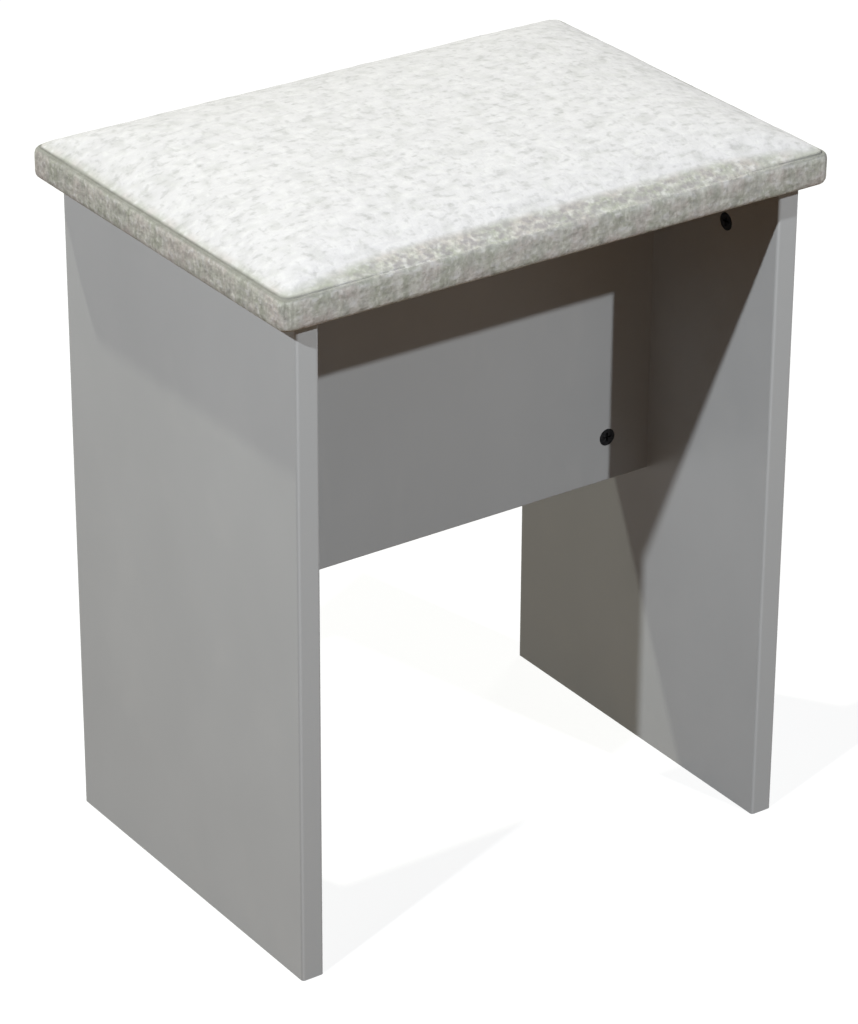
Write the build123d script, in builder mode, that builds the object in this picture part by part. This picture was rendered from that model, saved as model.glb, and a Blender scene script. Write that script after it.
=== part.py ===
from build123d import *
import os
from math import ceil, cos, radians, sin

# An upholstered stool: two slab sides, a cross panel between them and a padded seat on top.
# Millimetres, +Z up, origin on the floor under the middle of the seat, front towards -Y.

# Side panels
width_outside = 376
panel_height = 456
panel_depth = 268
panel_thickness = 16
panel_edge_round = 2

# Cross panel between the sides, up against the seat
stretcher_height = 247.5
stretcher_thickness = 16
stretcher_edge_round = 1

# Seat board
side_overhang = 13.5
front_overhang = 9
board_thickness = 18
board_corner_radius = 3.5

# Cover and pad
cover_thickness = 1.6
cover_slack = 0.3
return_gap = 1
band_edge_round = 3
crease_inset = 4
crease_depth = 0.9
pad_crown = 20
crown_fullness = 5
crown_reach = 0.74
crown_steps = 5
corner_growth = 0.25

# Staples under the seat
staple_crown = 10
staple_wire = 0.8
staple_leg = 6
staple_pitch = 100

# Cam locks and the bolts that they grip
cam_diameter = 12
cam_backing = 4
cam_jaw = 2.6
cam_cross_length = 6.4
cam_cross_width = 1.4
cam_cross_depth = 2
bolt_diameter = 6
bolt_neck_diameter = 3.6
bolt_head_diameter = 5.6
bolt_head_length = 3
bolt_thread_length = 11
seat_cam_drop = 42
seat_cam_spacing = 164
stretcher_cam_setback = 34
stretcher_cam_margin = 32

# Wooden dowels
dowel_diameter = 8
dowel_length = 30
dowel_in_face = 10
seat_dowel_spacing = 84

# Clearances
fit_clearance = 0.1
bolt_clearance = 0.4
bottom_clearance = 0.6

# Places that follow from the sizes above
inside_face = width_outside / 2 - panel_thickness
panel_centre = width_outside / 2 - panel_thickness / 2
stretcher_bottom = panel_height - stretcher_height
stretcher_middle = panel_height - stretcher_height / 2
board_width = width_outside + 2 * side_overhang
board_depth = panel_depth + 2 * front_overhang
board_top = panel_height + board_thickness
band_width = board_width + 2 * (cover_slack + cover_thickness)
band_depth = board_depth + 2 * (cover_slack + cover_thickness)
band_corner_radius = board_corner_radius + cover_slack + cover_thickness
band_bottom = panel_height - cover_thickness
band_top = board_top + cover_thickness
cover_return = front_overhang - return_gap

# Holes for what goes into them
cam_hole = cam_diameter + 2 * fit_clearance
thread_hole = bolt_diameter + 2 * fit_clearance
shank_hole = bolt_diameter + 2 * bolt_clearance
dowel_hole = dowel_diameter + 2 * fit_clearance
thread_depth = bolt_thread_length + bottom_clearance
dowel_face_depth = dowel_in_face + bottom_clearance
dowel_edge_depth = dowel_length - dowel_in_face + bottom_clearance

os.makedirs("parts", exist_ok=True)


def finish(part, label):
    part.label = label
    export_step(part, f"parts/{label}.step")


# Faces that the pieces meet at, and the places of the fittings on them
panel_top = Plane.XY.offset(panel_height)
board_underside = Plane(origin=(0, 0, panel_height), x_dir=(1, 0, 0), z_dir=(0, 0, -1))


def inner_face(side):
    """A side panel's inner face, looking into the stool, with its X axis up."""
    return Plane(origin=(side * inside_face, 0, 0), x_dir=(0, 0, 1), z_dir=(-side, 0, 0))


def end_face(side):
    """One end of the stretcher, looking out at a side panel, with its X axis up."""
    return Plane(origin=(side * inside_face, 0, 0), x_dir=(0, 0, 1), z_dir=(side, 0, 0))


def front_face(side):
    """The stretcher's front face, with its X axis towards one side panel."""
    return Plane(origin=(0, -stretcher_thickness / 2, 0), x_dir=(side, 0, 0), z_dir=(0, -1, 0))


def pair(spacing):
    return (-spacing / 2, spacing / 2)


seat_cam_spots = [(panel_height - seat_cam_drop, y) for y in pair(seat_cam_spacing)]
end_bolt_heights = (stretcher_bottom + stretcher_cam_margin, panel_height - stretcher_cam_margin)
end_bolt_spots = [(z, 0) for z in end_bolt_heights]


def top_edge_spots(side, spacing):
    """Two places along the top edge of a side panel."""
    return [(side * panel_centre, y) for y in pair(spacing)]


def stretcher_cam_spots(side):
    """The cams at one end of the stretcher, in the axes of its front face."""
    return [(inside_face - stretcher_cam_setback, side * z) for z in end_bolt_heights]


def drill(face, spots, diameter, depth):
    """Blind round holes from a face down into the part being built."""
    with Locations(face):
        with Locations(*spots):
            Hole(diameter / 2, depth)


# Side panels, with eased front and back edges and the drillings for both joints
for side, name in ((-1, "left_panel"), (1, "right_panel")):
    with BuildPart() as panel:
        with BuildSketch() as outline:
            with Locations((side * panel_centre, 0)):
                Rectangle(panel_thickness, panel_depth)
            fillet(outline.vertices(), panel_edge_round)
        extrude(amount=panel_height)
        cam_depth = panel_thickness - cam_backing + bottom_clearance
        drill(inner_face(side), seat_cam_spots, cam_hole, cam_depth)
        drill(panel_top, top_edge_spots(side, seat_cam_spacing), shank_hole, seat_cam_drop)
        drill(panel_top, top_edge_spots(side, seat_dowel_spacing), dowel_hole, dowel_edge_depth)
        drill(inner_face(side), end_bolt_spots, thread_hole, thread_depth)
    finish(panel.part, name)

# Stretcher, with its lower edges eased and cams let into the front face at both ends
with BuildPart() as stretcher:
    with Locations((0, 0, stretcher_middle)):
        Box(2 * inside_face, stretcher_thickness, stretcher_height)
    lower_edges = stretcher.edges().filter_by(Axis.X).group_by(Axis.Z)[0]
    fillet(lower_edges, stretcher_edge_round)
    cam_depth = stretcher_thickness - cam_backing + bottom_clearance
    for side in (-1, 1):
        drill(front_face(side), stretcher_cam_spots(side), cam_hole, cam_depth)
        drill(end_face(side), end_bolt_spots, shank_hole, stretcher_cam_setback)
finish(stretcher.part, "stretcher")


def staple_places():
    """Each staple's place on the underside of the seat board and the turn of its crown."""
    places = []
    for along, across, turn in ((board_width, board_depth, 0), (board_depth, board_width, 90)):
        run = along - 2 * (cover_return + staple_crown)
        gaps = ceil(run / staple_pitch)
        for line in pair(across - cover_return):
            for step in range(gaps + 1):
                place = (run * (step / gaps - 0.5), line)
                places.append(Location(place[::-1] if turn else place, turn))
    return places


def staple_legs(room):
    """Sections of both legs of every staple, with some room round the wire."""
    with Locations(*staple_places()):
        with Locations(*[(x, 0) for x in pair(staple_crown - staple_wire)]):
            Rectangle(staple_wire + 2 * room, staple_wire + 2 * room)


# Seat board, drilled from below for the seat bolts and dowels, and pierced by the staples
with BuildPart() as seat_board:
    with BuildSketch(panel_top):
        RectangleRounded(board_width, board_depth, board_corner_radius)
    extrude(amount=board_thickness)
    for side in (-1, 1):
        drill(board_underside, top_edge_spots(side, seat_cam_spacing), thread_hole, thread_depth)
        drill(board_underside, top_edge_spots(side, seat_dowel_spacing), dowel_hole, dowel_face_depth)
    with BuildSketch(panel_top):
        staple_legs(fit_clearance)
    extrude(amount=staple_leg + bottom_clearance, mode=Mode.SUBTRACT)
finish(seat_board.part, "seat_board")


def band_profile():
    """Insets and heights up the outside of the band, from its underside to the crease."""
    eased = band_edge_round * (1 - sin(radians(45)))
    return [
        (band_edge_round / 2, band_bottom),
        (0, band_bottom + band_edge_round / 2),
        (0, band_top - band_edge_round),
        (eased, band_top - eased),
        (band_edge_round, band_top),
        (crease_inset, band_top - crease_depth),
    ]


def crown_profile(shrink):
    """Insets and heights up the crowned pad, drawn in and lowered by shrink."""
    reach = band_depth / 2 - crease_inset
    profile = []
    for step in range(1, crown_steps + 1):
        share = crown_reach * (step / crown_steps) ** 2
        rise = pad_crown * (1 - (1 - share) ** crown_fullness)
        profile.append((crease_inset + share * reach + shrink, band_top + rise - shrink))
    return profile


def level_size(inset):
    """Width, depth and corner radius of the seat's outline at an inset from the band."""
    return band_width - 2 * inset, band_depth - 2 * inset, band_corner_radius + corner_growth * inset


def cover_outlines():
    """Level outlines of the cover's outside, from the underside of the band to the top of the crown."""
    outlines = []
    for inset, height in band_profile() + crown_profile(0):
        with BuildSketch(Plane.XY.offset(height)) as level:
            RectangleRounded(*level_size(inset))
        outlines.append(level.sketch)
    return outlines


def pad_corners(shrink):
    """Corners of the pad inside the cover, which stands on the board with its upright edges cut round."""
    corners = []
    for inset, height in [(crease_inset + shrink, board_top)] + crown_profile(shrink):
        width, depth, radius = level_size(inset)
        for turn in (radians(0), radians(45), radians(90)):
            across = width - 2 * radius * (1 - cos(turn))
            along = depth - 2 * radius * (1 - sin(turn))
            corners += [(x, y, height) for x in pair(across) for y in pair(along)]
    return corners


# Foam pad on the board
with BuildPart() as seat_foam:
    ConvexPolyhedron(pad_corners(cover_thickness + cover_slack))
finish(seat_foam.part, "seat_foam")

# Cover: a band round the board's edge, a crease, the crowned top, and an edge turned under the board
with BuildPart() as seat_cover:
    loft(cover_outlines(), ruled=True)
    with BuildSketch(panel_top):
        room_width = board_width + 2 * cover_slack
        room_depth = board_depth + 2 * cover_slack
        RectangleRounded(room_width, room_depth, board_corner_radius + cover_slack)
    extrude(amount=board_thickness, mode=Mode.SUBTRACT)
    ConvexPolyhedron(pad_corners(cover_thickness), mode=Mode.SUBTRACT)
    with BuildSketch(panel_top):
        Rectangle(board_width - 2 * cover_return, board_depth - 2 * cover_return)
        staple_legs(fit_clearance)
    extrude(amount=-cover_thickness, mode=Mode.SUBTRACT)
finish(seat_cover.part, "seat_cover")

# Staples: crowns under the turned edge of the cover, legs through it into the board
with BuildPart() as cover_staples:
    with BuildSketch(Plane.XY.offset(band_bottom)):
        with Locations(*staple_places()):
            Rectangle(staple_crown, staple_wire)
    extrude(amount=-staple_wire)
    with BuildSketch(Plane.XY.offset(band_bottom)):
        staple_legs(0)
    extrude(amount=cover_thickness + staple_leg)
finish(cover_staples.part, "cover_staples")


def cam_locks(label, face, spots, thickness):
    """Cam locks let into a board's face at spots; the face's X axis points to the bolts that they grip."""
    bolt_depth = thickness / 2
    track = bolt_head_diameter + 2 * bolt_clearance
    slit = bolt_neck_diameter + 2 * bolt_clearance
    with BuildPart() as cams:
        with BuildSketch(face):
            with Locations(*spots):
                Circle(cam_diameter / 2)
        extrude(amount=cam_backing - thickness)
        # Cross slot for the screwdriver
        with BuildSketch(face):
            with Locations(*spots):
                Rectangle(cam_cross_length, cam_cross_width)
                Rectangle(cam_cross_width, cam_cross_length)
        extrude(amount=-cam_cross_depth, mode=Mode.SUBTRACT)
        # Track that lets the bolt's head in from the back of the cam and stops at the jaw
        with BuildSketch(face.offset(track / 2 - bolt_depth)):
            with Locations(*spots):
                with Locations((cam_diameter / 2 - cam_jaw, 0)):
                    Rectangle(cam_diameter, track, align=(Align.MAX, Align.CENTER))
        extrude(amount=-track, mode=Mode.SUBTRACT)
        # Slit half way round for the bolt's neck
        with BuildSketch(face.offset(slit / 2 - bolt_depth)):
            with Locations(*spots):
                with Locations((0, -slit / 2)):
                    Rectangle(cam_diameter, cam_diameter, align=(Align.CENTER, Align.MIN))
        extrude(amount=-slit, mode=Mode.SUBTRACT)
    finish(cams.part, label)


def cam_bolts(label, face, spots, setback):
    """Bolts screwed into a face at spots, each with its head behind the jaw of a cam at setback."""
    neck_start = setback - cam_diameter / 2 - bolt_clearance
    head_start = setback - cam_diameter / 2 + cam_jaw + fit_clearance
    steps = (
        (bolt_diameter, -bolt_thread_length, neck_start),
        (bolt_neck_diameter, neck_start, head_start),
        (bolt_head_diameter, head_start, head_start + bolt_head_length),
    )
    with BuildPart() as bolts:
        for diameter, start, end in steps:
            with BuildSketch(face.offset(start)):
                with Locations(*spots):
                    Circle(diameter / 2)
            extrude(amount=end - start)
    finish(bolts.part, label)


def dowels(label, face, spots):
    """Wooden dowels sunk part of their length into a face at spots."""
    with BuildPart() as pins:
        with BuildSketch(face.offset(-dowel_in_face)):
            with Locations(*spots):
                Circle(dowel_diameter / 2)
        extrude(amount=dowel_length)
    finish(pins.part, label)


# Fittings of both sides: cams, the bolts that they grip, and dowels
for side, name in ((-1, "left"), (1, "right")):
    cam_locks(f"{name}_panel_cams", inner_face(side), seat_cam_spots, panel_thickness)
    cam_locks(f"stretcher_{name}_cams", front_face(side), stretcher_cam_spots(side), stretcher_thickness)
    cam_bolts(f"{name}_seat_bolts", board_underside, top_edge_spots(side, seat_cam_spacing), seat_cam_drop)
    cam_bolts(f"{name}_stretcher_bolts", inner_face(side), end_bolt_spots, stretcher_cam_setback)
    dowels(f"{name}_seat_dowels", board_underside, top_edge_spots(side, seat_dowel_spacing))
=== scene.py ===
import bmesh
import bpy
import math
from mathutils import Matrix, Vector, noise
from mathutils.bvhtree import BVHTree


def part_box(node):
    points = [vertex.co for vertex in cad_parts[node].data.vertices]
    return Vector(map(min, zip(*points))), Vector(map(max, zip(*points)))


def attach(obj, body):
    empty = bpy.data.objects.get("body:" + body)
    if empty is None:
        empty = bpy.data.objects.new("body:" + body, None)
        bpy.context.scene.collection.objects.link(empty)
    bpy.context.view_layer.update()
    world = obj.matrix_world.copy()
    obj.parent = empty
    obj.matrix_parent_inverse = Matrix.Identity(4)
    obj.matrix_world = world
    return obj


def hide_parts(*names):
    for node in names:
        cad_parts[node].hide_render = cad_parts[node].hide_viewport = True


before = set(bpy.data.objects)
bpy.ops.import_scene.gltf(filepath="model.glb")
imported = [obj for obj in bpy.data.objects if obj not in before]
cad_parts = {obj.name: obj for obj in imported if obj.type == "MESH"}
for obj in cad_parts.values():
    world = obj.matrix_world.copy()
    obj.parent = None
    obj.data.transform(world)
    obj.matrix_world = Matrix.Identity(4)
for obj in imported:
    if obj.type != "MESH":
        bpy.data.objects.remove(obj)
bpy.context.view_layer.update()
scene = bpy.context.scene
scene.view_settings.view_transform = "Standard"

# Sizes of the seat, read from the CAD parts, in metres
cover_low, cover_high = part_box("seat_cover")
board_low, board_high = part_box("seat_board")
half_width = cover_high.x
half_depth = cover_high.y
underside = cover_low.z
cloth_thickness = board_low.z - underside
band_top = board_high.z + cloth_thickness
band_height = band_top - underside
pad_crown = cover_high.z - band_top

# Outline and crown of the seat
corner_radius = 0.0054
corner_growth = 0.25
crease_inset = 0.0028
crown_fullness = 5

# How far in the cover's edge is turned under the board, and the gap between the soft pieces and the board
turned_under = 0.0098
board_clearance = 0.0001

# How far the crowns of the cover, before it swells, of its lining and of the pad stay below the CAD cover's
cover_lowered = 0.0022
lining_lowered = 0.0042
pad_lowered = 0.0058

# Rows and columns of the grids over the pad, and how far the lines crowd towards the edges
cover_grid = (144, 200)
swelling_grid = (48, 66)
inner_grid = (24, 34)
crowding = 0.6

# Swelling of the cover's top: held near the crease, free over the middle, blended in from the edge
swelling_frames = 20
most_swelling = 0.003
held_margin = 0.006
freeing_width = 0.05
swelling_start = 0.008
swelling_blend = 0.012

# Crease round the pad: its share of the rows' depth along the sides, and how far in from them it keeps that
crease_share = 0.9
crease_side = 0.02

# Gathers of the band, and the shift in their noise from one quarter of the seat to another
gather_spacing = 0.011
gather_height = 0.05
gather_depth = 0.0003
quarter_shift = 7.3

# Tucks at the band's corners, each an angle and a width in degrees and a share of the depth
tuck_zone = 0.0104
tuck_depth = 0.001
tucks = ((52, 9, 1.0), (86, 5, 0.4))

# How close to the band's edges the gathers and tucks flatten, and what is left of them there
shallow_margin = 0.005
shallowest = 0.2

# Pile of the cloth: its lift and the cloth's slack, and the sizes of its slubs, waves and streaks
pile_height = 0.00045
slack_height = 0.0005
weft_slub = (0.012, 0.008, 0.008)
warp_slub = (0.007, 0.011, 0.007)
warp_shift = 40
slack_wave = 0.05
band_streak = (0.005, 0.005, 0.03)

# Heights over the underside and over the band's top up to which the pile lifts less
turned_zone = 0.001
crease_zone = 0.0005

# The attribute that shades the pile's hollows: its middle value and its contrast
pile_middle = 0.5
pile_contrast = 0.7

# Zones of the cloth's colours, from their start to their full strength, as heights from the band's top: where
# the top's colour takes over from the band's darker painted shade, where the band's marks show, the painted
# shade in the crease from below and from above, and the pad's slope
top_zone = (-0.0006, 0.0035)
band_zone = (0.0015, -0.002)
crease_shade_from_below = (-0.0023, -0.0011)
crease_shade_from_above = (0.0009, -0.0001)
slope_zone = (-0.002, 0.0005)

# The stretch of the front edge where painted shade spreads up the pad: its start and full strength as shares
# of the half width and half depth
front_shade_width = (0.95, 0.6)
front_shade_depth = (0.8, 0.93)

# How far up the pad the painted shade of the front stretch reaches
front_shade_reach = 0.006

# Paler edge strips of the boards, partly edge banding and partly painted light on the edges: how far they
# wrap on to the faces, and the width of the change
strip_wrap = 0.0006
strip_blend = 0.0001
strip_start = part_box("left_panel")[1].y - strip_wrap


# Materials

def new_finish(name):
    """A material with a principled shader: the material, its nodes, a way to link them, and the shader."""
    material = bpy.data.materials.new(name)
    material.use_nodes = True
    nodes = material.node_tree.nodes
    shader = nodes["Principled BSDF"]
    return material, nodes, material.node_tree.links.new, shader


def add_node(nodes, kind, settings=None, **sockets):
    """A shader node with its settings and the values of its input sockets."""
    node = nodes.new("ShaderNode" + kind)
    for key, value in (settings or {}).items():
        setattr(node, key, value)
    for key, value in sockets.items():
        node.inputs[key.replace("_", " ")].default_value = value
    return node


def grey(level):
    """A colour with the same level of red, green and blue."""
    return (level, level, level)


def cube(size):
    """A noise cell of the same size along X, Y and Z."""
    return (size, size, size)


def noise_at(nodes, link, cell, detail=2.0, shift=(0, 0, 0)):
    """Noise on Object coordinates whose cells have the given sizes in metres along X, Y and Z."""
    place = add_node(nodes, "TexCoord")
    mapping = add_node(nodes, "Mapping")
    mapping.inputs["Scale"].default_value = [1 / size for size in cell]
    mapping.inputs["Location"].default_value = shift
    link(mapping.inputs["Vector"], place.outputs["Object"])
    pattern = add_node(nodes, "TexNoise", Scale=1.0, Detail=detail)
    link(pattern.inputs["Vector"], mapping.outputs["Vector"])
    return pattern.outputs["Fac"]


def ramp(nodes, link, source, *stops):
    """A colour ramp over a value, from (position, colour) stops."""
    band = add_node(nodes, "ValToRGB")
    elements = band.color_ramp.elements
    while len(elements) < len(stops):
        elements.new(0.5)
    for element, (position, colour) in zip(elements, stops):
        element.position = position
        element.color = (*colour, 1)
    link(band.inputs["Fac"], source)
    return band.outputs["Color"]


def blend_colours(nodes, link, factor, first, second):
    """Two colours mixed by a factor; a colour that isn't linked is set on its socket."""
    mix = add_node(nodes, "Mix", {"data_type": "RGBA"})
    for socket, value in (("Factor", factor), ("A", first), ("B", second)):
        slot = [s for s in mix.inputs if s.name == socket and s.enabled][0]
        if isinstance(value, bpy.types.NodeSocket):
            link(slot, value)
        else:
            slot.default_value = (*value, 1)
    return [s for s in mix.outputs if s.enabled][0]


def kept_where(nodes, link, mask, factor):
    """A factor that counts only where a mask is on."""
    return blend_colours(nodes, link, mask, grey(0), factor)


def spread(nodes, link, source, start, end, **results):
    """A value spread from 0 at its start to 1 at its end, or between the results given."""
    spreading = add_node(nodes, "MapRange", From_Min=start, From_Max=end, **results)
    link(spreading.inputs["Value"], source)
    return spreading.outputs["Result"]


def zone_at(nodes, link, height, zone):
    """A zone of the cloth at a height: 0 before its start and 1 past its full strength."""
    start, full = zone
    return spread(nodes, link, height, band_top + start, band_top + full)


def calculate(nodes, link, operation, *values):
    """The result of a math node on one or two values."""
    node = add_node(nodes, "Math", {"operation": operation})
    for slot, value in zip(node.inputs, values):
        link(slot, value)
    return node.outputs["Value"]


def object_place(nodes, link):
    """The outputs X, Y and Z of a point in Object coordinates."""
    place = add_node(nodes, "SeparateXYZ")
    link(place.inputs["Vector"], add_node(nodes, "TexCoord").outputs["Object"])
    return place.outputs


def bump(nodes, link, shader, height, distance, strength=1.0):
    """Relief on a shader from a height value."""
    relief = add_node(nodes, "Bump", Strength=strength, Distance=distance)
    link(relief.inputs["Height"], height)
    link(shader.inputs["Normal"], relief.outputs["Normal"])


def grey_lacquer():
    """Smooth grey lacquered board: clouding, an orange-peel skin, light rubbing, and paler edge strips that
    are partly edge banding and partly painted light on the edges.
    """
    material, nodes, link, shader = new_finish("grey_lacquer")
    clouding = noise_at(nodes, link, (0.09, 0.09, 0.12), detail=4)
    tone = ramp(nodes, link, clouding, (0.0, (0.377, 0.381, 0.388)), (1.0, (0.44, 0.444, 0.451)))
    # Paler strips along the front and back edges: partly edge banding, partly painted light that brightens
    # the edges
    off_middle = calculate(nodes, link, "ABSOLUTE", object_place(nodes, link)["Y"])
    edge_banding_and_light = spread(nodes, link, off_middle, strip_start, strip_start + strip_blend)
    tone = blend_colours(nodes, link, edge_banding_and_light, tone, (0.45, 0.454, 0.46))
    rubbing = noise_at(nodes, link, (0.02, 0.05, 0.06))
    rubbed = ramp(nodes, link, rubbing, (0.58, grey(0)), (0.8, grey(0.25)))
    link(shader.inputs["Base Color"], blend_colours(nodes, link, rubbed, tone, (0.47, 0.47, 0.465)))
    sheen = noise_at(nodes, link, (0.03, 0.03, 0.06))
    link(shader.inputs["Roughness"], ramp(nodes, link, sheen, (0.0, grey(0.29)), (1.0, grey(0.39))))
    shader.inputs["Specular IOR Level"].default_value = 0.2
    bump(nodes, link, shader, noise_at(nodes, link, cube(0.0016)), distance=0.000015)
    return material


def painted_front_shade(nodes, link, place):
    """How far up the pad the band's darker colour, painted shade, reaches: only over the middle of the front
    edge.
    """
    off_middle = calculate(nodes, link, "ABSOLUTE", place["X"])
    across = [share * half_width for share in front_shade_width]
    forward = [share * -half_depth for share in front_shade_depth]
    middle = spread(nodes, link, off_middle, *across)
    front = spread(nodes, link, place["Y"], *forward, To_Max=front_shade_reach)
    return calculate(nodes, link, "MULTIPLY", middle, front)


def fleece_cloth():
    """Off-white cloth with a short soft pile and grey flecks, streaked and speckled on the band; painted
    shade darkens the band, the crease and the middle of the front slope.
    """
    material, nodes, link, shader = new_finish("fleece_cloth")
    place = object_place(nodes, link)
    height = place["Z"]
    reach = painted_front_shade(nodes, link, place)
    level = calculate(nodes, link, "SUBTRACT", height, reach)
    above = zone_at(nodes, link, level, top_zone)
    below = zone_at(nodes, link, level, band_zone)
    # Colours of the top and of the band: the band's are darker as painted shade, over the cloth's own olive,
    # straw and pink mottle
    tint = noise_at(nodes, link, cube(0.016), detail=3)
    top = ramp(nodes, link, tint, (0.36, (0.532, 0.515, 0.534)), (0.64, (0.566, 0.548, 0.567)))
    olive, straw, pink = (0.36, 0.365, 0.31), (0.43, 0.42, 0.38), (0.46, 0.42, 0.395)
    band = ramp(nodes, link, tint, (0.38, olive), (0.5, straw), (0.62, pink))
    lit_top_and_shaded_band = blend_colours(nodes, link, above, band, top)
    # Pale slubs along the weft, and grey flecks both ways
    weft = noise_at(nodes, link, (0.0078, 0.005, 0.005))
    warp = noise_at(nodes, link, (0.0046, 0.007, 0.0046), shift=(3, 7, 1))
    slubs = ramp(nodes, link, weft, (0.52, grey(0)), (0.68, grey(0.6)))
    colour = blend_colours(nodes, link, slubs, lit_top_and_shaded_band, (0.61, 0.595, 0.605))
    for pattern, depth in ((weft, 0.45), (warp, 0.35)):
        flecks = ramp(nodes, link, pattern, (0.28, grey(depth)), (0.43, grey(0)))
        colour = blend_colours(nodes, link, flecks, colour, (0.31, 0.305, 0.30))
    # Upright streaks and fine specks on the band, both pale and dark
    upright = noise_at(nodes, link, (0.0048, 0.0048, 0.022), shift=(9, 2, 5))
    tweed = noise_at(nodes, link, (0.0026, 0.0026, 0.0034), shift=(2, 6, 4))
    for pattern, depth, pale_from, pale, dark_from, dark in (
        (upright, 0.4, 0.52, (0.58, 0.57, 0.53), 0.47, (0.27, 0.27, 0.235)),
        (tweed, 0.5, 0.54, (0.62, 0.61, 0.57), 0.46, (0.24, 0.24, 0.205)),
    ):
        high = ramp(nodes, link, pattern, (pale_from, grey(0)), (0.7, grey(depth)))
        low = ramp(nodes, link, pattern, (0.3, grey(depth)), (dark_from, grey(0)))
        for marks, shade in ((high, pale), (low, dark)):
            colour = blend_colours(nodes, link, kept_where(nodes, link, below, marks), colour, shade)
    # Painted shade in the crease, fading along the middle of the front
    crease = zone_at(nodes, link, height, crease_shade_from_below)
    upper = zone_at(nodes, link, height, crease_shade_from_above)
    ends = spread(nodes, link, reach, 0.0, front_shade_reach, To_Min=0.9, To_Max=0.05)
    painted_crease_shade = kept_where(nodes, link, ends, kept_where(nodes, link, crease, upper))
    colour = blend_colours(nodes, link, painted_crease_shade, colour, (0.20, 0.195, 0.175))
    # Painted shade in patches on the pad's slope over the middle of the front
    slope = zone_at(nodes, link, height, slope_zone)
    front_shade_strength = spread(nodes, link, reach, 0.0, front_shade_reach, To_Max=0.8)
    rubbed = kept_where(nodes, link, front_shade_strength, blend_colours(nodes, link, above, slope, grey(0)))
    mottle = noise_at(nodes, link, cube(0.0042), shift=(5, 1, 8))
    patches = ramp(nodes, link, mottle, (0.4, grey(0.1)), (0.62, grey(1)))
    rubbed = kept_where(nodes, link, patches, rubbed)
    colour = blend_colours(nodes, link, rubbed, colour, (0.275, 0.255, 0.262))
    # Shade in the hollows of the pile
    pile = add_node(nodes, "Attribute", {"attribute_name": "pile"})
    hollows = ramp(nodes, link, pile.outputs["Fac"], (0.2, grey(0.25)), (0.5, grey(0)))
    colour = blend_colours(nodes, link, hollows, colour, (0.34, 0.34, 0.32))
    link(shader.inputs["Base Color"], colour)
    shader.inputs["Roughness"].default_value = 0.95
    shader.inputs["Specular IOR Level"].default_value = 0.15
    shader.inputs["Sheen Weight"].default_value = 0.08
    shader.inputs["Sheen Roughness"].default_value = 0.5
    threads = calculate(nodes, link, "ADD", weft, warp)
    bump(nodes, link, shader, threads, distance=0.0011, strength=0.6)
    return material


def foam_block():
    """Open-cell foam, cream with darker pores."""
    material, nodes, link, shader = new_finish("foam_block")
    pores = noise_at(nodes, link, cube(0.0012), detail=4)
    tone = ramp(nodes, link, pores, (0.35, (0.55, 0.50, 0.36)), (0.6, (0.80, 0.76, 0.62)))
    link(shader.inputs["Base Color"], tone)
    shader.inputs["Roughness"].default_value = 1.0
    bump(nodes, link, shader, pores, distance=0.0006)
    return material


def chipboard():
    """Bare chipboard: flat chips of pale and dark wood, a little rough."""
    material, nodes, link, shader = new_finish("chipboard")
    chips = add_node(nodes, "TexVoronoi", Scale=260.0, Randomness=1.0)
    link(chips.inputs["Vector"], add_node(nodes, "TexCoord").outputs["Object"])
    shade = add_node(nodes, "SeparateColor")
    link(shade.inputs["Color"], chips.outputs["Color"])
    bark, middling, pale = (0.22, 0.14, 0.075), (0.47, 0.33, 0.19), (0.62, 0.47, 0.30)
    tone = ramp(nodes, link, shade.outputs["Red"], (0.0, bark), (0.4, middling), (1.0, pale))
    dust = noise_at(nodes, link, cube(0.0008), detail=3)
    darker = ramp(nodes, link, dust, (0.35, grey(0.5)), (0.55, grey(0)))
    link(shader.inputs["Base Color"], blend_colours(nodes, link, darker, tone, (0.25, 0.17, 0.10)))
    shader.inputs["Roughness"].default_value = 0.85
    bump(nodes, link, shader, dust, distance=0.0003)
    return material


def black_cam():
    """Black cam: satin, with greyer scuffs."""
    material, nodes, link, shader = new_finish("black_cam")
    scuffs = noise_at(nodes, link, cube(0.0012), detail=4)
    tone = ramp(nodes, link, scuffs, (0.5, (0.006, 0.006, 0.007)), (0.75, (0.035, 0.035, 0.036)))
    link(shader.inputs["Base Color"], tone)
    link(shader.inputs["Roughness"], ramp(nodes, link, scuffs, (0.4, grey(0.45)), (0.7, grey(0.65))))
    shader.inputs["Specular IOR Level"].default_value = 0.15
    return material


def plated_steel(name, tone, roughness):
    """Plated steel with a mottled plating."""
    material, nodes, link, shader = new_finish(name)
    plating = noise_at(nodes, link, (0.002, 0.002, 0.006), detail=4)
    dull = [0.8 * channel for channel in tone]
    link(shader.inputs["Base Color"], ramp(nodes, link, plating, (0.35, dull), (0.65, tone)))
    gloss = ramp(nodes, link, plating, (0.3, grey(roughness)), (0.7, grey(roughness + 0.15)))
    link(shader.inputs["Roughness"], gloss)
    shader.inputs["Metallic"].default_value = 1.0
    return material


def bare_beech():
    """Bare beech dowel with dark flecks along the grain."""
    material, nodes, link, shader = new_finish("bare_beech")
    grain = noise_at(nodes, link, (0.0009, 0.0009, 0.012), detail=4)
    tone = ramp(nodes, link, grain, (0.3, (0.40, 0.25, 0.12)), (0.6, (0.60, 0.42, 0.24)))
    link(shader.inputs["Base Color"], tone)
    shader.inputs["Roughness"].default_value = 0.7
    bump(nodes, link, shader, grain, distance=0.0002)
    return material


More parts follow.
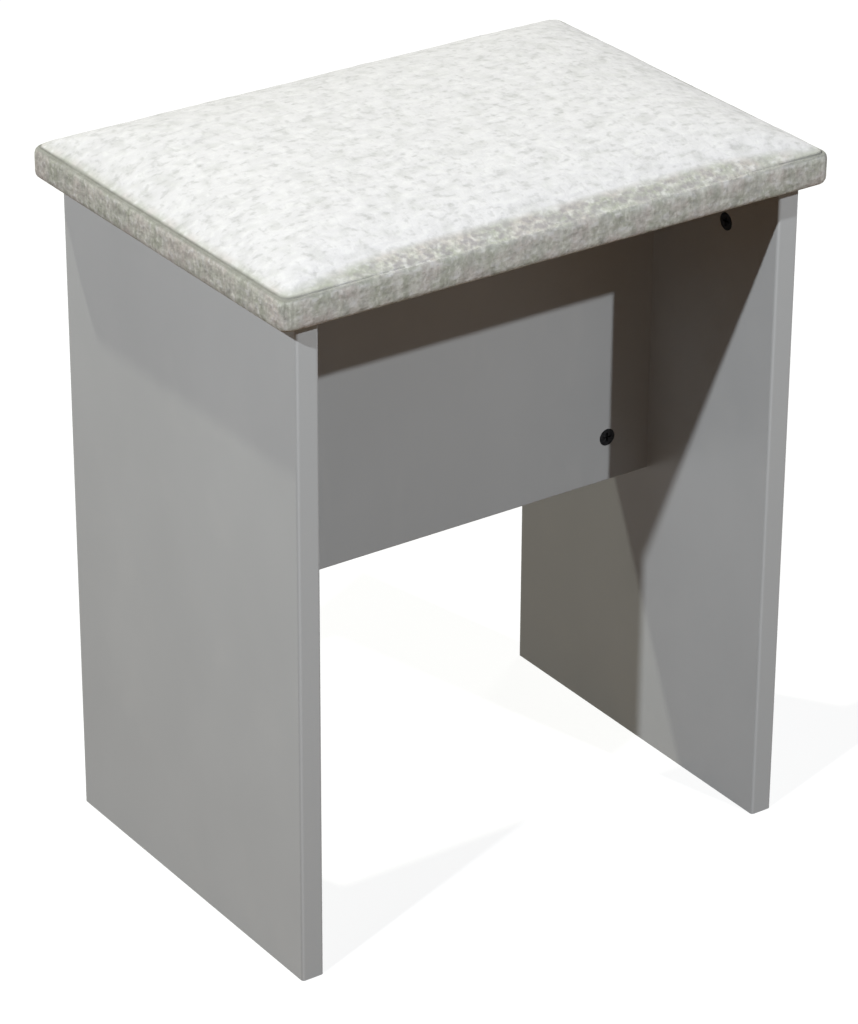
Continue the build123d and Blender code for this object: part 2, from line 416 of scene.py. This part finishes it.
# Finishes of the CAD nodes that stay in the scene, by the endings of their names
lacquer = grey_lacquer()
finishes = {
    "_panel": lacquer,
    "stretcher": lacquer,
    "_cams": black_cam(),
    "_bolts": plated_steel("zinc_plating", tone=(0.56, 0.57, 0.60), roughness=0.28),
    "_dowels": bare_beech(),
    "seat_board": chipboard(),
    "cover_staples": plated_steel("staple_wire", tone=(0.60, 0.59, 0.56), roughness=0.35),
}
for name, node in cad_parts.items():
    for ending, finish in finishes.items():
        if name.endswith(ending):
            node.data.materials.clear()
            node.data.materials.append(finish)


# Seat cover and pad

def crowded(share):
    """A grid line's place from -1 to 1, with the lines closer together towards both ends."""
    return (1 - crowding) * share + crowding * math.sin(share * math.pi / 2)


def even(share):
    """A grid line's place from -1 to 1, with the lines evenly apart."""
    return share


def edge_distance(place):
    """How far a point lies inside the seat's sides, leaving its rounded corners out of account."""
    return min(half_width - abs(place.x), half_depth - abs(place.y))


def rim_place(point, inset):
    """Where a point of the pad's rim comes to on the seat's rounded outline at another inset."""
    width, depth = half_width - inset, half_depth - inset
    radius = corner_radius + corner_growth * inset
    x = abs(point.x) * width / (half_width - crease_inset)
    y = abs(point.y) * depth / (half_depth - crease_inset)
    corner = Vector((x - width + radius, y - depth + radius))
    if corner.x > 0 and corner.y > 0:
        corner = corner.normalized() * radius
        x, y = width - radius + corner.x, depth - radius + corner.y
    elif width - x < depth - y:
        x = width
    else:
        y = depth
    return Vector((math.copysign(x, point.x), math.copysign(y, point.y)))


def crowned_top(mesh, grid, lower, spacing=crowded, inside=0.0, sunk=0.0):
    """A grid over the pad, whose rings follow the seat's outline and climb to the crown.

    The crown is lowered a little. The rim of a lining or a pad is drawn inside the crease and sunk under it.
    """
    rows, columns = grid
    bmesh.ops.create_grid(mesh, x_segments=columns, y_segments=rows, size=1)
    rim = crease_inset + inside
    for vert in mesh.verts:
        x = (half_width - rim) * abs(spacing(vert.co.x))
        y = (half_depth - rim) * abs(spacing(vert.co.y))
        inset = min(half_width - x, half_depth - y)
        share = (inset - rim) / (half_depth - rim)
        radius = min(corner_radius + corner_growth * inset, half_depth - inset)
        centre = Vector((half_width - inset - radius, half_depth - inset - radius))
        corner = Vector((x, y)) - centre
        if corner.x > 0 and corner.y > 0:
            x, y = centre + corner.normalized() * radius
        rise = (pad_crown - lower + sunk) * (1 - (1 - share) ** crown_fullness) - sunk
        vert.co = (math.copysign(x, vert.co.x), math.copysign(y, vert.co.y), band_top + rise)


def draw_rim(mesh, rows):
    """Draws the grid's rim on through rows; each gives a rim point's inset and height over the underside."""
    places = {vert: vert.co.copy() for vert in mesh.verts if vert.is_boundary}
    for row in rows:
        rim = [edge for edge in mesh.edges if edge.is_boundary]
        drawn = bmesh.ops.extrude_edge_only(mesh, edges=rim)["geom"]
        fresh = {}
        for vert in drawn:
            if isinstance(vert, bmesh.types.BMVert):
                ends = [edge.other_vert(vert) for edge in vert.link_edges]
                start = [places[end] for end in ends if end in places][0]
                inset, level = row(start)
                place = rim_place(start, inset)
                vert.co = (place.x, place.y, underside + level)
                fresh[vert] = start
        places = fresh


def level_row(inset, level):
    """A row at the same inset and height all round."""
    return lambda start: (inset, level)


def crease_row(inset, undercut, depth):
    """A row in the crease, which is deep round the corners and sides and fades along the front and back."""
    def row(start):
        on_side = half_width - abs(start.x) < crease_side
        fading = 1.0 if on_side else (abs(start.x) / half_width) ** 3
        deep = crease_share * fading
        return inset + undercut * deep, band_height - depth * deep
    return row


def gathered_row(inset, level):
    """A row of the band: shallow upright gathers, and tucks where the cloth is folded round each corner."""
    def row(start):
        along = start.x if half_depth - abs(start.y) < half_width - abs(start.x) else start.y
        quarter = math.copysign(1, start.x) + 3 * math.copysign(1, start.y)
        waves = Vector((along / gather_spacing, quarter * quarter_shift, level / gather_height))
        gathers = noise.noise(waves)
        corner = Vector((abs(start.x) - half_width + tuck_zone, abs(start.y) - half_depth + tuck_zone))
        tuck = 0.0
        if corner.x > 0 and corner.y > 0:
            turn = math.degrees(math.atan2(corner.y, corner.x))
            tuck = sum(share * math.exp(-(((turn - angle) / width) ** 2)) for angle, width, share in tucks)
        from_edges = min(level, band_height - level)
        deep = min(1.0, max(shallowest, from_edges / shallow_margin))
        return inset + deep * (tuck_depth * tuck + gather_depth * gathers), level
    return row


def scene_object(name, data):
    """An object in the scene for a mesh, a lamp or a camera."""
    piece = bpy.data.objects.new(name, data)
    scene.collection.objects.link(piece)
    return piece


def finished_mesh(name, mesh):
    """A mesh from a bmesh in work, which is freed."""
    data = bpy.data.meshes.new(name)
    mesh.to_mesh(data)
    mesh.free()
    return data


def finished_piece(name, mesh):
    """An object from a bmesh in work, with its faces turned to agree."""
    bmesh.ops.recalc_face_normals(mesh, faces=mesh.faces)
    return scene_object(name, finished_mesh(name, mesh))


def pad_freedom(place):
    """How freely a point of the cover may lift: not at all along the crease, fully over the middle."""
    return max(0.0, min(1.0, (edge_distance(place) - held_margin) / freeing_width))


def simulate_cloth(piece):
    """Lets the cloth swell from the pad under it, where it is free to, and caps each point's move."""
    held = piece.vertex_groups.new(name="held")
    for vert in piece.data.vertices:
        held.add([vert.index], 1 - pad_freedom(vert.co), "REPLACE")
    cloth = piece.modifiers.new("swell", "CLOTH")
    cloth.settings.quality = 5
    cloth.settings.mass = 0.25
    cloth.settings.tension_stiffness = 12
    cloth.settings.compression_stiffness = 12
    cloth.settings.shear_stiffness = 5
    cloth.settings.bending_stiffness = 0.4
    cloth.settings.use_pressure = True
    cloth.settings.uniform_pressure_force = 4
    cloth.settings.effector_weights.gravity = 0
    cloth.settings.vertex_group_mass = "held"
    for number in range(1, swelling_frames + 1):
        scene.frame_set(number)
    swollen = piece.evaluated_get(bpy.context.evaluated_depsgraph_get()).data
    moves = [end.co - start.co for end, start in zip(swollen.vertices, piece.data.vertices)]
    piece.modifiers.remove(cloth)
    piece.vertex_groups.remove(held)
    scene.frame_set(1)
    for vert, move in zip(piece.data.vertices, moves):
        if move.length > 0:
            vert.co += move.normalized() * most_swelling * math.tanh(move.length / most_swelling)


def swollen_top():
    """The pad's top, swollen as cloth on an even grid and subdivided: a surface to lay the cover on."""
    mesh = bmesh.new()
    crowned_top(mesh, swelling_grid, cover_lowered, spacing=even)
    pad = finished_piece("swollen_top", mesh)
    simulate_cloth(pad)
    finer = pad.modifiers.new("finer", "SUBSURF")
    finer.levels = finer.render_levels = 2
    finer.boundary_smooth = "PRESERVE_CORNERS"
    bpy.context.view_layer.update()
    surface = BVHTree.FromObject(pad, bpy.context.evaluated_depsgraph_get())
    bpy.data.objects.remove(pad)
    return surface


def lay_on(mesh, surface):
    """Lays a grid on the surface under or over it, blended in from a margin along the edge."""
    overhead = Vector((0, 0, 0.1))
    down = Vector((0, 0, -1))
    for vert in mesh.verts:
        laid = max(0.0, min(1.0, (edge_distance(vert.co) - swelling_start) / swelling_blend))
        hit = surface.ray_cast(vert.co + overhead, down)[0]
        if hit and laid:
            vert.co.z += laid * (hit.z - vert.co.z)


def looseness(height):
    """How freely the pile lifts at a height: least on the turned edge, less on the band than on the pad."""
    if height < underside + turned_zone:
        return 0.2
    if height < band_top + crease_zone:
        return 0.4
    return 1.0


def wave_at(place, size, shift=0):
    """Noise at a place, in waves of the given sizes along X, Y and Z, shifted along Z."""
    x, y, z = (length / wave for length, wave in zip(place, size))
    return noise.noise(Vector((x, y, z + shift)))


def raise_pile(mesh):
    """Slubs of the fleecy cloth, lifted off the mesh and kept as the attribute pile."""
    heights = []
    normals = [vert.normal.copy() for vert in mesh.vertices]
    for vert, normal in zip(mesh.vertices, normals):
        if vert.co.z < band_top:
            pile = wave_at(vert.co, band_streak)
        else:
            pile = 0.5 * (wave_at(vert.co, weft_slub) + wave_at(vert.co, warp_slub, warp_shift))
        slack = noise.noise(vert.co / slack_wave)
        heights.append(pile_middle + pile_contrast * pile)
        vert.co += normal * looseness(vert.co.z) * (pile_height * pile + slack_height * slack)
    attribute = mesh.attributes.new("pile", "FLOAT", "POINT")
    attribute.data.foreach_set("value", heights)


def cover_outside():
    """The outside of the cover: crowned top, crease, band round the board and edge turned under it."""
    mesh = bmesh.new()
    crowned_top(mesh, cover_grid, cover_lowered)
    lay_on(mesh, swollen_top())
    rows = [crease_row(inset=0.0026, undercut=0.0004, depth=0.0013)]
    rows += [crease_row(inset=0.0021, undercut=0.0, depth=0.0009)]
    # Rounded shoulder, as insets and drops from the band's top
    shoulder = ((0.0014, 0.0009), (0.0008, 0.0017), (0.0004, 0.0028), (0.0001, 0.0044))
    rows += [gathered_row(inset, band_height - drop) for inset, drop in shoulder]
    # Upright face, as shares of the band's height
    face = (0.68, 0.56, 0.44, 0.32, 0.21)
    rows += [gathered_row(0.0, share * band_height) for share in face]
    # Rounded foot and the edge turned under, as insets and heights over the underside
    foot = ((0.0003, 0.0026), (0.0008, 0.0015), (0.0017, 0.0006))
    turned_edge = ((0.0028, 0.0002), (0.0044, 0.0), (turned_under, 0.0001))
    rows += [gathered_row(inset, level) for inset, level in foot]
    rows += [level_row(inset, level) for inset, level in turned_edge]
    draw_rim(mesh, rows)
    bmesh.ops.recalc_face_normals(mesh, faces=mesh.faces)
    outside = finished_mesh("outside", mesh)
    raise_pile(outside)
    return outside


def make_seat_cover():
    """The fleecy cover, with a lining side on a coarser grid, joined to the outside along the turned edge."""
    outside = cover_outside()
    mesh = bmesh.new()
    crowned_top(mesh, inner_grid, lining_lowered, inside=0.003, sunk=0.0012)
    # Rows of the lining, as insets and heights over the underside
    lining_foot = cloth_thickness - board_clearance
    lining = ((0.0052, band_height - 0.0014), (cloth_thickness, band_height - 0.0015))
    lining += ((cloth_thickness, lining_foot), (turned_under, lining_foot))
    draw_rim(mesh, [level_row(inset, level) for inset, level in lining])
    bmesh.ops.recalc_face_normals(mesh, faces=mesh.faces)
    bmesh.ops.reverse_faces(mesh, faces=mesh.faces)
    mesh.from_mesh(outside)
    bmesh.ops.bridge_loops(mesh, edges=[edge for edge in mesh.edges if edge.is_boundary])
    cover = finished_piece("fleece_seat_cover", mesh)
    cover.data.shade_smooth()
    cover.data.materials.append(fleece_cloth())
    return cover


def make_foam_pad():
    """The foam under the cover: crowned, cut round at its corners and flat where it lies on the board."""
    mesh = bmesh.new()
    crowned_top(mesh, inner_grid, pad_lowered, inside=0.006, sunk=0.001)
    draw_rim(mesh, [level_row(inset=0.0092, level=board_high.z - underside + board_clearance)])
    bmesh.ops.holes_fill(mesh, edges=mesh.edges, sides=0)
    pad = finished_piece("foam_pad", mesh)
    pad.data.shade_smooth()
    pad.data.materials.append(foam_block())
    return pad


seat_cover = (make_seat_cover(), "seat_cover", "fabric")
seat_pad = (make_foam_pad(), "seat_foam", "foam")
for piece, node, slot in (seat_cover, seat_pad):
    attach(piece, "root")
    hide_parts(node)


# Floor, lights and camera

def seen_directly(nodes, link):
    """1 for a ray from the camera, a reflection or a clear surface, and 0 for the other light."""
    seen = add_node(nodes, "LightPath")
    total = seen.outputs["Is Camera Ray"]
    for kind in ("Is Glossy Ray", "Is Transmission Ray"):
        adding = add_node(nodes, "Math", {"operation": "ADD", "use_clamp": True})
        link(adding.inputs[0], total)
        link(adding.inputs[1], seen.outputs[kind])
        total = adding.outputs["Value"]
    return total


def show_by_ray(nodes, link, for_light, for_view, output):
    """Shows one shader to the light and another to the camera and to reflections."""
    choice = add_node(nodes, "MixShader")
    link(choice.inputs["Fac"], seen_directly(nodes, link))
    link(choice.inputs[1], for_light)
    link(choice.inputs[2], for_view)
    link(add_node(nodes, output).inputs["Surface"], choice.outputs["Shader"])


def make_floor():
    """A pale floor: near white to the camera and to reflections, a dull brown to the light it throws back."""
    mesh = bmesh.new()
    bmesh.ops.create_circle(mesh, cap_ends=True, radius=9, segments=96)
    floor = scene_object("floor", finished_mesh("floor", mesh))
    material = bpy.data.materials.new("pale_floor")
    material.use_nodes = True
    nodes = material.node_tree.nodes
    link = material.node_tree.links.new
    nodes.clear()
    brown = add_node(nodes, "BsdfDiffuse", Color=(0.155, 0.095, 0.05, 1))
    shaded = add_node(nodes, "BsdfDiffuse", Color=(0.2, 0.2, 0.2, 1))
    glow = add_node(nodes, "Emission", Color=(1, 1, 1, 1), Strength=0.85)
    pale = add_node(nodes, "AddShader")
    link(pale.inputs[0], shaded.outputs["BSDF"])
    link(pale.inputs[1], glow.outputs["Emission"])
    show_by_ray(nodes, link, brown.outputs["BSDF"], pale.outputs["Shader"], "OutputMaterial")
    floor.data.materials.append(material)


def make_surround():
    """A dim even surround for the light, white to the camera and to reflections."""
    world = bpy.data.worlds.new("surround")
    scene.world = world
    world.use_nodes = True
    nodes = world.node_tree.nodes
    link = world.node_tree.links.new
    nodes.clear()
    dim = add_node(nodes, "Background", Color=(1, 0.97, 0.93, 1), Strength=0.035)
    white = add_node(nodes, "Background", Color=(1, 1, 1, 1), Strength=1.0)
    show_by_ray(nodes, link, dim.outputs["Background"], white.outputs["Background"], "OutputWorld")


def make_lamp(name, place, size, level, tint=(1, 1, 1)):
    """A round lamp aimed at the stool; level is how bright it makes a white face turned to it there."""
    aim = Vector((0, 0, 0.3))
    data = bpy.data.lights.new(name, "AREA")
    data.shape = "DISK"
    data.size = size
    data.color = tint
    lamp = scene_object(name, data)
    lamp.location = place
    throw = lamp.location - aim
    data.energy = level * math.pi**2 * throw.length_squared
    lamp.rotation_mode = "QUATERNION"
    lamp.rotation_quaternion = throw.to_track_quat("Z", "Y")


def direction(turn, lift):
    """The way from the stool to a viewpoint turned from the front and lifted off the floor."""
    return Vector((math.sin(turn) * math.cos(lift), -math.cos(turn) * math.cos(lift), math.sin(lift)))


def make_camera():
    """The photograph's viewpoint: from the front left, looking down on the seat from 2.8 metres off."""
    azimuth, elevation = math.radians(-34.80), math.radians(26.97)
    tilt, roll = math.radians(0.12), math.radians(0.29)
    aim = Vector((0, 0, 0.2275))
    distance = 2.7706
    data = bpy.data.cameras.new("camera")
    data.sensor_width = 36
    data.lens = 149.9
    camera = scene_object("camera", data)
    back = direction(azimuth, elevation + tilt)
    across = Vector((0, 0, 1)).cross(back).normalized()
    upright = back.cross(across)
    side = across * math.cos(roll) + upright * math.sin(roll)
    top = upright * math.cos(roll) - across * math.sin(roll)
    place = Matrix((side, top, back)).transposed().to_4x4()
    place.translation = aim + direction(azimuth, elevation) * distance
    camera.matrix_world = place
    scene.camera = camera


make_floor()
make_surround()
cool, warm = (0.95, 1.0, 1.03), (0.98, 1.0, 0.85)
make_lamp("front_right_lamp", (0.73, -2.30, 2.22), size=0.06, level=0.53, tint=cool)
make_lamp("front_left_lamp", (-2.138, -0.85, 2.10), size=0.06, level=0.73, tint=cool)
make_lamp("back_top_lamp", (-0.567, 1.221, 2.93), size=0.05, level=0.69, tint=warm)
make_lamp("back_right_lamp", (2.6, 1.7, 1.5), size=0.9, level=0.25)
make_camera()
